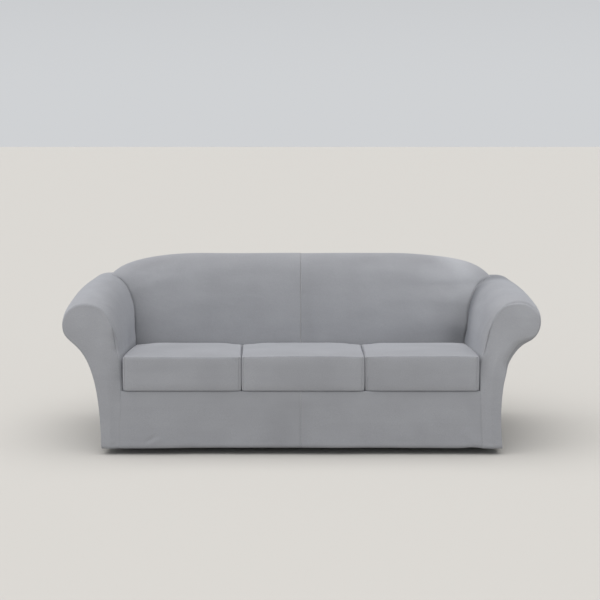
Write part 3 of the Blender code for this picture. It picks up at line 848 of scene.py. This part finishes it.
# Front skirt
# Two low panels under the cushions, joined by an upright seam in the middle and sewn to the facings. They
# are pulled smooth at the seat and a little slack at the elastic hem, which is uneven.
# The hem rises in the middle and at a small tuck on the right, and ripples
HEM_LIFT = 0.004
HEM_RIPPLE = 0.003
TUCK_X = 0.78
TUCK_WIDTH = 0.04
TUCK_LIFT = 0.005
SKIRT_EDGE = 0.007
# As for the facings
SKIRT_CREASES = {
    -1: (
        (-0.705, 0.058, -0.65, 0.092, 0.0075, -0.003), (-0.69, 0.05, -0.625, 0.076, 0.0085, 0.0024),
        (-0.56, 0.045, -0.47, 0.07, 0.016, 0.0018), (-0.18, 0.05, -0.11, 0.078, 0.012, -0.0014),
        (-0.79, 0.27, -0.74, 0.16, 0.02, 0.0016),
    ),
    1: (
        (0.73, 0.11, 0.8, 0.05, 0.018, 0.0022), (0.03, 0.042, 0.11, 0.075, 0.014, 0.0014),
        (0.42, 0.05, 0.52, 0.066, 0.018, -0.0014), (0.69, 0.24, 0.76, 0.12, 0.026, -0.0018),
    ),
}
# Strokes of nap and painted shading on the skirt, as for the facings: partly nap, partly painted shade and
# highlight
SKIRT_NAP_AND_PAINTED_SHADING = (
    (-0.11, -0.06, -0.03, 0.28, 0.08, -0.07), (-0.19, 0.05, -0.03, 0.12, 0.05, -0.05),
    (0.01, -0.05, 0.015, 0.25, 0.03, -0.04), (0.56, 0.1, 0.76, 0.2, 0.06, 0.04),
)


def skirt_grid(side):
    """Upright columns between the seams. The face ripples more towards the hem and dips at its seams."""
    across = bunched(110, 0.85)[None, :]
    up = np.concatenate([[0, 0.012, 0.026, 0.044], np.linspace(0.065, 1, 34)])
    up = np.concatenate([up[:-1], 1 - (1 - up[-2]) * np.array((0.75, 0.5, 0.3, 0.15, 0.05, 0))])[:, None]
    nominal = HEM_HEIGHT + (SEAT_HEIGHT - HEM_HEIGHT) * up
    end = skirt_seam_x(nominal) - SEAM_GAP
    x = SEAM_GAP + (end - SEAM_GAP) * across
    at = side * x
    tuck = TUCK_LIFT * bell(at - TUCK_X, TUCK_WIDTH)
    hem = HEM_HEIGHT + HEM_LIFT * (1 - across**2) + tuck
    z = hem + (SEAT_HEIGHT - hem) * up
    low = smoothstep(SEAT_HEIGHT, HEM_HEIGHT, z)
    in_panel = np.sin(pi * np.clip(across, 0, 1)) ** 0.5
    ripple = np.sin(7.3 * at + 0.8) + 0.6 * np.sin(16.0 * at - 0.4) + 0.25 * np.sin(41 * at)
    y = -HEM_RIPPLE * ripple * low * in_panel - creased(at, z, SKIRT_CREASES[side])
    y = y + SKIRT_SEAM_DIP * (bell(x, SEAM_WIDTH) + bell(end - x, SEAM_WIDTH))
    y = y + rounded(SEAT_HEIGHT - z, SKIRT_EDGE) + hem_curl(z - hem)
    return np.stack([at, y, z], axis=-1), creased(at, z, SKIRT_NAP_AND_PAINTED_SHADING)


SEAT_MIDDLE = (0, 0.3, 0.15)
for side, label in SIDES:
    grid, nap_and_painted_shading = skirt_grid(side)
    skirt = cloth(f"front_skirt_{label}", [grid], SEAT_MIDDLE, cover_suede, nap_and_painted_shading)
    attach(skirt, "root")
    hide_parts(f"skirt_{label}")


# Seat deck
# One plain panel of suede lies on the seat under the cushions, joins the skirt in front, the sleeves at the
# sides and the back behind, and dips a little where the cushions press it down.
SEAT_FALL = 0.082
DECK_SAG = 0.003


def seat_height(y):
    """The seat slopes down towards the back."""
    return SEAT_HEIGHT - SEAT_FALL * y


def deck_grid():
    """Rows from the skirt to the back. The sag is a sine over the width times a sine over the depth."""
    half = ARM_INNER_X - 0.0012
    rear = float(back_front_y(0.0, seat_height(BACK_FOOT[0]) - CLOTH)) - 0.0008
    x = half * (2 * bunched(90, 0.6) - 1)[None, :]
    share = bunched(40, 0.6)[:, None]
    y = SKIRT_EDGE + (rear - SKIRT_EDGE) * share
    sag = DECK_SAG * np.sin(pi * share) * np.sin(pi * (x / half + 1) * 1.5) ** 2
    z = seat_height(y) - sag
    return np.stack([*np.broadcast_arrays(x, y), z], axis=-1)


deck = cloth("seat_panel", [deck_grid()], SEAT_MIDDLE, cover_suede)
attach(deck, "root")
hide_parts("seat_deck")


# Cushion covers
# Three boxed covers are pulled over the seat cushions. A top panel is sewn to a band round the sides, which
# has upright seams near its front corners and turns under below, where elastic draws it in.
CUSHION_HEIGHT = 0.155
CUSHION_FRONT = -0.008
CUSHION_REAR = 0.598
CUSHION_LEAN = 0.19
CUSHION_CLEAR = 0.0006
# The top's crown falls to its sides, front and rear, and droops at the rear corners
CUSHION_CROWN = 0.0165
CROWN_SIDE_FALL = 0.35
CROWN_SIDE_POWER = 6
CROWN_FRONT_POWER = 4
CROWN_REAR_FALL = 0.5
REAR_CORNER_DROOP = 0.013
REAR_CORNER_WIDTH = 0.055
# The corners are round from above. The top's edge is narrow in front and wider behind that.
CUSHION_CORNER = 0.009
FRONT_EDGE = 0.0042
SIDE_EDGE = 0.008
EDGE_SOFTENS_BY = 0.15
EDGE_FALL = 0.0024
BOTTOM_EDGE = 0.007
TURN_UNDER = 0.055
SIDE_BULGE = 0.0015
FRONT_BULGE = 0.003
FRONT_SHARE = 0.1
TOP_WAVE = 0.0012
PANEL_SEAM_DIP = 0.002
BAND_SEAM_IN = 0.0088
BAND_SEAM_DIP = 0.0028
BAND_SEAM_WIDTH = 0.003
DRAWN_CORNER_WIDTH = 0.03
# Left and right edge, how far each has shifted behind, how far the lower front corners draw back, how far
# the front is lifted, how far the end at the arm bulges and its top is puffed, and each rear corner's droop
Cushion = namedtuple(
    "Cushion", "name left right shift_left shift_right drawn_left drawn_right lift bulge puff droops"
)
CUSHIONS = (
    Cushion("left", -0.8005, -0.268, 0.0, -0.022, 0.0, 0.005, 0.0, 0.0015, 0.004, (1, 1)),
    Cushion("middle", -0.265, 0.2865, -0.022, 0.008, 0.002, 0.002, 0.003, 0.0, 0.0, (1, 1)),
    Cushion("right", 0.2895, 0.8035, 0.008, 0.0, 0.011, 0.003, 0.0045, 0.0012, 0.009, (1, 0)),
)
# Share across and share back, to share across and share back, width in shares, rise
TOP_CREASES = {
    "left": ((-0.8, 0.1, -0.3, 0.3, 0.1, 0.001), (0.7, 0.08, 0.35, 0.45, 0.1, -0.0012)),
    "middle": ((-0.85, 0.12, -0.4, 0.4, 0.12, -0.001), (0.8, 0.1, 0.4, 0.3, 0.1, 0.001)),
    "right": ((-0.8, 0.06, -0.45, 0.5, 0.1, 0.0012), (0.85, 0.15, 0.3, 0.4, 0.12, -0.0012)),
}
# Metres from the middle and height, to metres from the middle and height, width, rise
FRONT_PUCKERS = {
    "left": ((0.235, 0.146, 0.252, 0.128, 0.006, -0.0022), (0.222, 0.14, 0.24, 0.12, 0.006, 0.0014)),
    "middle": ((-0.262, 0.13, -0.235, 0.1, 0.008, 0.0012), (0.235, 0.04, 0.262, 0.07, 0.008, -0.0012)),
    "right": ((-0.235, 0.135, -0.215, 0.105, 0.008, -0.0012), (0.215, 0.03, 0.245, 0.055, 0.008, 0.0014)),
}
# Strokes of nap and painted shading on the top, in shares as its creases are, and on the front, in metres as
# its puckers are: partly nap, partly painted highlight towards the rear and painted shade in front
CUSHION_TOP_NAP_AND_PAINTED_SHADING = {
    "left": (
        (-1.4, 0.05, 1.4, 0.05, 0.22, -0.05), (-1.25, 0.95, 1.3, 0.92, 0.26, 0.07),
        (-1.15, 0.25, -0.35, 1.25, 0.28, 0.24),
    ),
    "middle": ((-1.4, 0.05, 1.4, 0.05, 0.22, -0.06), (-1.1, 0.92, -0.4, 0.95, 0.25, 0.08)),
    "right": (
        (-1.4, 0.05, 1.4, 0.05, 0.24, -0.07), (-1.3, 0.95, 1.3, 0.95, 0.26, 0.08),
        (0.4, 1.25, 1.2, 0.55, 0.22, 0.18),
    ),
}
CUSHION_FRONT_NAP_AND_PAINTED_SHADING = {
    "left": ((-0.3, 0.05, 0.06, 0.05, 0.05, 0.08),),
    "middle": (
        (-0.15, 0.075, 0.15, 0.075, 0.06, -0.06), (-0.245, -0.05, -0.245, 0.2, 0.04, 0.05),
        (0.235, -0.05, 0.225, 0.2, 0.045, 0.05),
    ),
    "right": ((-0.19, -0.05, -0.185, 0.2, 0.06, -0.05), (0.225, -0.05, 0.225, 0.2, 0.03, 0.06)),
}


def rounded_outline(half_width, half_depth, radius, corner=9, straight=46):
    """A rectangle with round corners, centred on zero: (x, y) points, anticlockwise, back to the first."""
    points = []
    for turn, (sign_x, sign_y) in enumerate(((1, 1), (-1, 1), (-1, -1), (1, -1))):
        angle = pi / 2 * (turn + np.linspace(0, 1, corner))
        centre = np.array((sign_x * (half_width - radius), sign_y * (half_depth - radius)))
        points.append(centre + radius * np.stack([np.cos(angle), np.sin(angle)], axis=1))
    runs = []
    for current, following in zip(points, points[1:] + points[:1]):
        share = bunched(straight, 0.91)[1:-1, None]
        runs += [current, current[-1] + (following[0] - current[-1]) * share]
    runs.append(points[0][:1])
    return np.concatenate(runs)


def crown(x, y, half_width, half_depth, droops):
    """Rise of the top at x and y from its middle, with a = x / half width and b = 0 in front, 1 behind.

    It is C (1 - 0.35 |a|^6) (1 - (1 - b)^4) (1 - b^3 / 2), less a bell round each rear corner.
    """
    across, back = x / half_width, np.clip((y / half_depth + 1) / 2, 0, 1)
    sides = 1 - CROWN_SIDE_FALL * np.abs(across) ** CROWN_SIDE_POWER
    front = 1 - (1 - back) ** CROWN_FRONT_POWER
    rear = 1 - CROWN_REAR_FALL * back**3
    droop = REAR_CORNER_DROOP * bell(np.hypot(half_width - np.abs(x), half_depth - y), REAR_CORNER_WIDTH)
    return CUSHION_CROWN * sides * front * rear - droop * np.where(x < 0, *droops)


def cushion_rings(edge):
    """Rings from the middle of the top, over its edge, down the band and in under the cushion.

    Each is its scale of the outline, its inset, its height, and its share of the crown. Edge is how wide
    the top's edge is at each point of the outline.
    """
    low, high = BOTTOM_EDGE, CUSHION_HEIGHT - EDGE_FALL
    rings = [(sin(turn), edge, CUSHION_HEIGHT, 1) for turn in np.linspace(0, pi / 2, 30)[:-1]]
    for turn in np.linspace(pi / 2, 0, 9):
        dip = PANEL_SEAM_DIP * bell(turn - pi / 4, 0.3)
        inset = edge - (edge - dip) * cos(turn)
        rings.append((1, inset, high + (EDGE_FALL - dip) * sin(turn), sin(turn)))
    for share in np.linspace(1, 0, 18)[1:-1]:
        rings.append((1, -SIDE_BULGE * (1 - abs(2 * share - 1) ** 6), low + (high - low) * share, 0))
    for turn in np.linspace(0, -pi / 2, 6):
        rings.append((1, low - low * cos(turn), low + low * sin(turn), 0))
    for reach in np.linspace(low, TURN_UNDER, 6)[1:]:
        rings.append((1, reach, 0, 0))
    return rings


def cushion_grid(cushion):
    """The rings, crowned, creased, puckered and bulged, and set leaning on the sloping seat."""
    half_width, half_depth = (cushion.right - cushion.left) / 2, (CUSHION_REAR - CUSHION_FRONT) / 2
    outline = rounded_outline(half_width, half_depth, CUSHION_CORNER)
    soft = smoothstep(0, EDGE_SOFTENS_BY, (outline[:, 1] / half_depth + 1) / 2)
    rings = cushion_rings(FRONT_EDGE + (SIDE_EDGE - FRONT_EDGE) * soft)
    half = np.array((half_width, half_depth))
    grid = []
    for scale, inset, height, crowned in rings:
        ring = scale * outline * (1 - np.broadcast_to(inset, len(outline))[:, None] / half)
        rise = crowned * crown(*ring.T, half_width, half_depth, cushion.droops)
        grid.append(np.column_stack([ring, height + rise]))
    x, y, z = np.moveaxis(np.array(grid), 2, 0).copy()
    across, back = x / half_width, (y / half_depth + 1) / 2
    on_top = np.array([ring[3] for ring in rings])[:, None]
    below_top = 1 - on_top
    in_front = smoothstep(FRONT_SHARE, 0, back)
    off_ends = 1 - across**4
    z += on_top * off_ends * creased(across, back, TOP_CREASES[cushion.name])
    z += on_top * off_ends * TOP_WAVE * np.sin(9.0 * x + cushion.left * 7) * np.sin(8.0 * y + 1.3)
    nap_and_painted_shading = on_top * creased(across, back, CUSHION_TOP_NAP_AND_PAINTED_SHADING[cushion.name])
    nap_and_painted_shading += below_top * in_front * creased(x, z, CUSHION_FRONT_NAP_AND_PAINTED_SHADING[cushion.name])
    z += cushion.lift * np.clip(z / CUSHION_HEIGHT, 0, 1) * np.clip(1 - back, 0, 1) ** 3 * off_ends
    upright = np.clip(z / CUSHION_HEIGHT, 0, 1)
    bulge = FRONT_BULGE * off_ends * (1 - np.abs(2 * upright - 1) ** 3)
    band_seam = BAND_SEAM_DIP * bell(half_width - BAND_SEAM_IN - np.abs(x), BAND_SEAM_WIDTH)
    drawn = cushion.drawn_left * bell(x + half_width, DRAWN_CORNER_WIDTH)
    drawn += cushion.drawn_right * bell(x - half_width, DRAWN_CORNER_WIDTH)
    puckers = creased(x, z, FRONT_PUCKERS[cushion.name])
    y += in_front * below_top * (band_seam - bulge - puckers + drawn * (1 - upright) ** 0.8)
    share = (y + half_depth) / (2 * half_depth)
    shift = cushion.shift_left + (cushion.shift_right - cushion.shift_left) * (across + 1) / 2
    by_arm = np.sign(across) == np.sign(cushion.left + cushion.right)
    at_arm = smoothstep(0.95, 1, np.abs(across)) * by_arm
    puffed = cushion.bulge * np.clip(1 - np.abs(2 * upright - 1) ** 6, 0, 1) * smoothstep(0.01, 0.05, back)
    puffed += cushion.puff * smoothstep(0.3, 0.95, upright) * smoothstep(0.02, 0.2, back)
    wide = (cushion.left + cushion.right) / 2 + x + at_arm * puffed * np.sign(across)
    wide += np.clip(share, 0, 1) * shift
    deep = CUSHION_FRONT + 2 * half_depth * share + CUSHION_LEAN * z * np.clip(share, 0, 1)
    return np.stack([wide, deep, seat_height(deep) + CUSHION_CLEAR + z], axis=-1), nap_and_painted_shading


cushion_suede = suede("cushion_suede", SUEDE_GREY)
for cushion in CUSHIONS:
    middle = ((cushion.left + cushion.right) / 2, 0.3, 0.35)
    grid, nap_and_painted_shading = cushion_grid(cushion)
    cover = cloth(f"cushion_cover_{cushion.name}", [grid], middle, cushion_suede, nap_and_painted_shading)
    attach(cover, "root")
    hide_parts(f"cushion_{cushion.name}")


# Room
# A pale floor under the hem that runs on into a pale backdrop, even light from all round, broad lights from
# overhead, the front and the left with a weak one from the right, and the camera at standing height in
# front of the seat.
FLOOR_PALE = (0.52, 0.503, 0.475)
FLOOR_HALF = 40
floor_mesh = bpy.data.meshes.new("floor")
floor_corners = [(x * FLOOR_HALF, y * FLOOR_HALF, FLOOR) for x, y in ((-1, -1), (1, -1), (1, 1), (-1, 1))]
floor_mesh.from_pydata(floor_corners, [], [(0, 1, 2, 3)])
floor = added("floor", floor_mesh)
matt = {"Base Color": (*FLOOR_PALE, 1), "Roughness": 0.9, "Specular IOR Level": 0.1}
floor_mesh.materials.append(finish("floor", matt)[0])

SKY = (0.955, 0.975, 1.0)
SKY_LOW = 0.66
SKY_HIGH = 0.34
SKY_RISE = 0.35
world = bpy.data.worlds.new("studio")
world.use_nodes = True
sky = world.node_tree
background = sky.nodes["Background"]
background.inputs["Color"].default_value = (*SKY, 1)
upward = node(sky, "SeparateXYZ", "Z", {"Vector": node(sky, "TexCoord", "Generated", {})})
fade = {"Value": upward, "From Min": 0, "From Max": SKY_RISE, "To Min": SKY_LOW, "To Max": SKY_HIGH}
strength = node(sky, "MapRange", "Result", fade, interpolation_type="SMOOTHSTEP")
sky.links.new(strength, background.inputs["Strength"])
bpy.context.scene.world = world


def broad_light(name, towards, spread, strength, color):
    """Light from very far away, from a round patch of sky spread degrees across, towards a direction."""
    lamp = bpy.data.lights.new(name, "SUN")
    lamp.angle, lamp.energy, lamp.color = radians(spread), strength, color
    holder = added(name, lamp)
    aim = np.array(towards) / np.linalg.norm(towards)
    holder.rotation_euler = (acos(-aim[2]), 0, atan2(aim[1], aim[0]) - pi / 2)


broad_light("overhead", (0.05, 0.1, -1.0), 80, 2.75, (1.0, 0.99, 0.98))
broad_light("front", (0.05, 1.0, -0.25), 70, 0.6, (0.82, 0.91, 1.0))
broad_light("left", (1.0, 0.25, -0.3), 70, 1.05, (0.97, 0.98, 1.0))
broad_light("right", (-1.0, 0.35, -0.25), 70, 0.3, (0.97, 0.98, 1.0))

CAMERA_LENS = 85.14
CAMERA_AWAY = 6.3
CAMERA_HEIGHT = 1.6107
# The view's fall for each metre ahead
CAMERA_FALL = 140 / 1399
camera_data = bpy.data.cameras.new("camera")
camera_data.sensor_width = 36
camera_data.lens = CAMERA_LENS
camera_data.shift_x, camera_data.shift_y = -0.00125, -0.1
camera = added("camera", camera_data)
camera.location = (0, FRONT - CAMERA_AWAY, FLOOR + CAMERA_HEIGHT)
camera.rotation_euler = (pi / 2 - atan(CAMERA_FALL), 0, 0)
bpy.context.scene.camera = camera
bpy.context.scene.view_settings.view_transform = "Standard"
